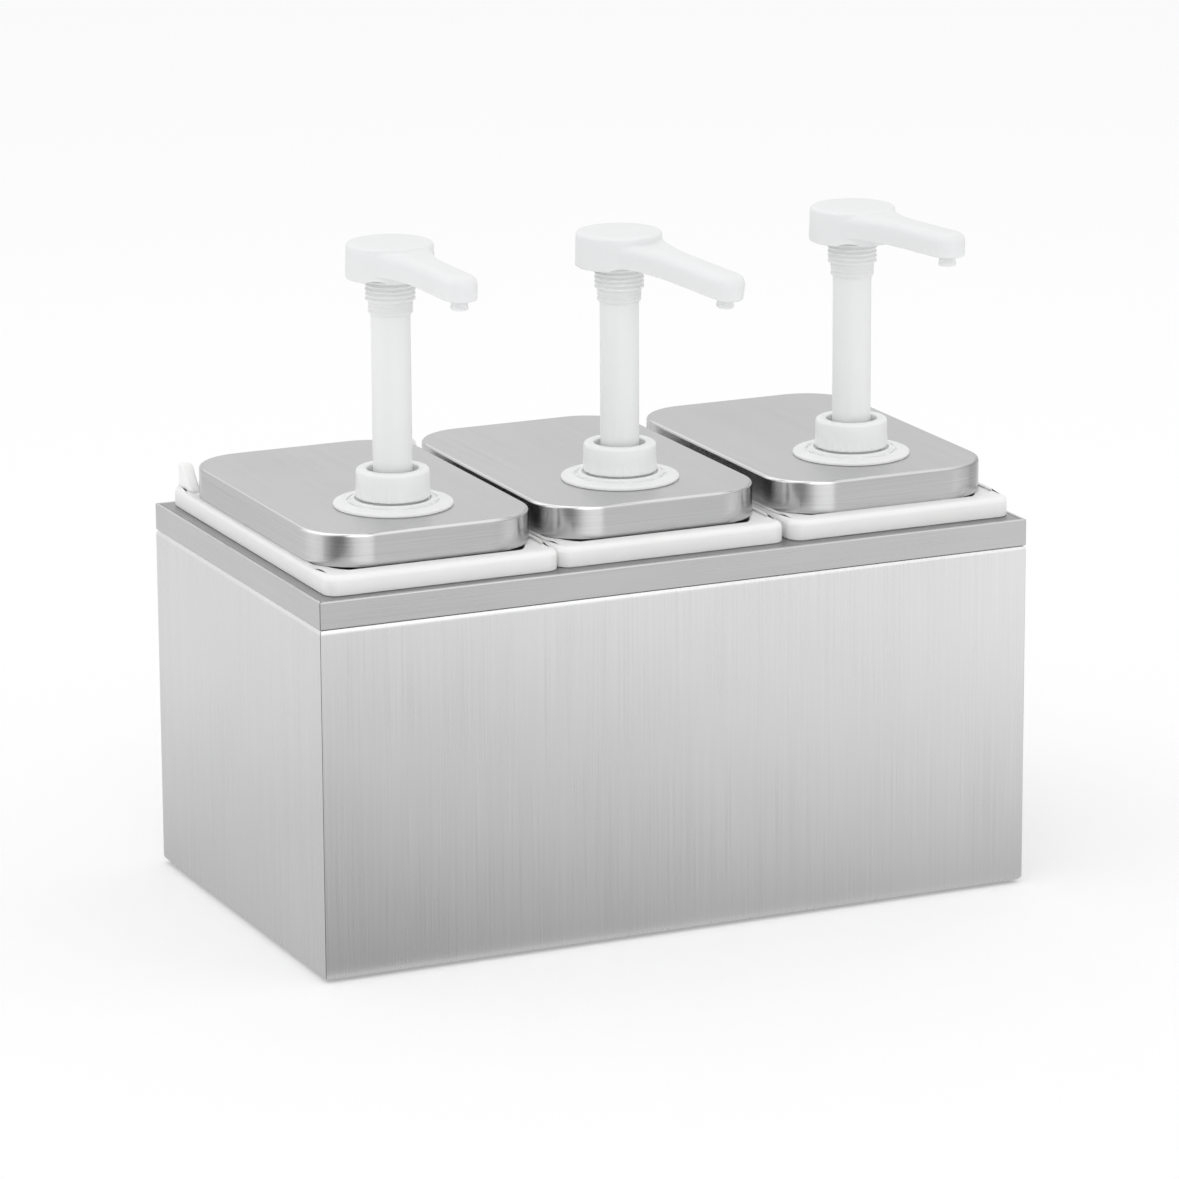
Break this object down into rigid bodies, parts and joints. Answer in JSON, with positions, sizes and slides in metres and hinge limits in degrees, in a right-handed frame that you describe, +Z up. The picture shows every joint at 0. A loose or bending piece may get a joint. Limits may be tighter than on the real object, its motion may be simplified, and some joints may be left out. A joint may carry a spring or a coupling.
{
  "type": "condiment pump dispenser",
  "caption": "Counter-top condiment dispenser: folded steel housing with lift-out plastic containers, steel lids and hand pumps whose spouts overhang the front",
  "frame": {"origin": "middle of the bounding box in plan, at the worktop under the feet", "axes": "+X along the front to the right, -Y out of the front where the spouts point, +Z up"},
  "size_m": [0.43, 0.2638, 0.3916],
  "materials": {
    "housing_steel": "brushed stainless sheet, vertical grain",
    "plate_steel": "brushed stainless sheet, grain along the front",
    "lid_steel": "drawn and brushed stainless sheet",
    "container_plastic": "white moulded polyethylene",
    "pump_plastic": "white moulded polypropylene, slightly translucent",
    "seal": "pale soft sealing plastic",
    "ball_steel": "bright stainless",
    "foot_rubber": "black rubber"
  },
  "bodies": {
    "housing": {"housing_body": "housing_steel", "top_plate": "plate_steel", "foot_1": "foot_rubber", "foot_2": "foot_rubber", "foot_3": "foot_rubber", "foot_4": "foot_rubber"},
    "container_1": {"container_1": "container_plastic"},
    "lid_1": {"lid_1": "lid_steel", "pump_flange_1": "pump_plastic", "flange_gasket_1": "seal", "lid_nut_1": "pump_plastic", "collar_1": "pump_plastic", "barrel_1": "pump_plastic", "stem_bush_1": "pump_plastic", "foot_valve_1": "pump_plastic", "dip_tube_1": "pump_plastic", "return_spring_1": "ball_steel"},
    "inlet_ball_1": {"inlet_ball_1": "ball_steel"},
    "plunger_1": {"piston_1": "seal"},
    "discharge_ball_1": {"discharge_ball_1": "ball_steel"},
    "head_1": {"stem_1": "pump_plastic", "pump_head_1": "pump_plastic", "nozzle_1": "pump_plastic"},
    "container_2": {"container_2": "container_plastic"},
    "lid_2": {"lid_2": "lid_steel", "pump_flange_2": "pump_plastic", "flange_gasket_2": "seal", "lid_nut_2": "pump_plastic", "collar_2": "pump_plastic", "barrel_2": "pump_plastic", "stem_bush_2": "pump_plastic", "foot_valve_2": "pump_plastic", "dip_tube_2": "pump_plastic", "return_spring_2": "ball_steel"},
    "inlet_ball_2": {"inlet_ball_2": "ball_steel"},
    "plunger_2": {"piston_2": "seal"},
    "discharge_ball_2": {"discharge_ball_2": "ball_steel"},
    "head_2": {"stem_2": "pump_plastic", "pump_head_2": "pump_plastic", "nozzle_2": "pump_plastic"},
    "container_3": {"container_3": "container_plastic"},
    "lid_3": {"lid_3": "lid_steel", "pump_flange_3": "pump_plastic", "flange_gasket_3": "seal", "lid_nut_3": "pump_plastic", "collar_3": "pump_plastic", "barrel_3": "pump_plastic", "stem_bush_3": "pump_plastic", "foot_valve_3": "pump_plastic", "dip_tube_3": "pump_plastic", "return_spring_3": "ball_steel"},
    "inlet_ball_3": {"inlet_ball_3": "ball_steel"},
    "plunger_3": {"piston_3": "seal"},
    "discharge_ball_3": {"discharge_ball_3": "ball_steel"},
    "head_3": {"stem_3": "pump_plastic", "pump_head_3": "pump_plastic", "nozzle_3": "pump_plastic"}
  },
  "joints": [
    {"name": "container_lift_1", "type": "slide", "parent": "housing", "child": "container_1", "axis": [0, 0, 1], "range_m": [0, 0.2]},
    {"name": "lid_lift_1", "type": "slide", "parent": "container_1", "child": "lid_1", "axis": [0, 0, 1], "range_m": [0, 0.2]},
    {"name": "inlet_ball_lift_1", "type": "slide", "parent": "lid_1", "child": "inlet_ball_1", "axis": [0, 0, 1], "range_m": [0, 0.002]},
    {"name": "plunge_1", "type": "slide", "parent": "lid_1", "child": "plunger_1", "axis": [0, 0, 1], "range_m": [-0.094, 0], "stiffness_N_per_m": 120, "springref_m": 0.06, "deforming": ["return_spring_1"]},
    {"name": "discharge_ball_lift_1", "type": "slide", "parent": "plunger_1", "child": "discharge_ball_1", "axis": [0, 0, 1], "range_m": [0, 0.002]},
    {"name": "swivel_1", "type": "hinge", "parent": "plunger_1", "child": "head_1", "pos_m": [-0.1388, -0.03922, 0.3], "axis": [0, 0, 1], "continuous": true},
    {"name": "container_lift_2", "type": "slide", "parent": "housing", "child": "container_2", "axis": [0, 0, 1], "range_m": [0, 0.2]},
    {"name": "lid_lift_2", "type": "slide", "parent": "container_2", "child": "lid_2", "axis": [0, 0, 1], "range_m": [0, 0.2]},
    {"name": "inlet_ball_lift_2", "type": "slide", "parent": "lid_2", "child": "inlet_ball_2", "axis": [0, 0, 1], "range_m": [0, 0.002]},
    {"name": "plunge_2", "type": "slide", "parent": "lid_2", "child": "plunger_2", "axis": [0, 0, 1], "range_m": [-0.094, 0], "stiffness_N_per_m": 120, "springref_m": 0.06, "deforming": ["return_spring_2"]},
    {"name": "discharge_ball_lift_2", "type": "slide", "parent": "plunger_2", "child": "discharge_ball_2", "axis": [0, 0, 1], "range_m": [0, 0.002]},
    {"name": "swivel_2", "type": "hinge", "parent": "plunger_2", "child": "head_2", "pos_m": [0.0001, -0.03672, 0.3], "axis": [0, 0, 1], "continuous": true},
    {"name": "container_lift_3", "type": "slide", "parent": "housing", "child": "container_3", "axis": [0, 0, 1], "range_m": [0, 0.2]},
    {"name": "lid_lift_3", "type": "slide", "parent": "container_3", "child": "lid_3", "axis": [0, 0, 1], "range_m": [0, 0.2]},
    {"name": "inlet_ball_lift_3", "type": "slide", "parent": "lid_3", "child": "inlet_ball_3", "axis": [0, 0, 1], "range_m": [0, 0.002]},
    {"name": "plunge_3", "type": "slide", "parent": "lid_3", "child": "plunger_3", "axis": [0, 0, 1], "range_m": [-0.094, 0], "stiffness_N_per_m": 120, "springref_m": 0.06, "deforming": ["return_spring_3"]},
    {"name": "discharge_ball_lift_3", "type": "slide", "parent": "plunger_3", "child": "discharge_ball_3", "axis": [0, 0, 1], "range_m": [0, 0.002]},
    {"name": "swivel_3", "type": "hinge", "parent": "plunger_3", "child": "head_3", "pos_m": [0.1437, -0.04002, 0.3], "axis": [0, 0, 1], "continuous": true}
  ]
}
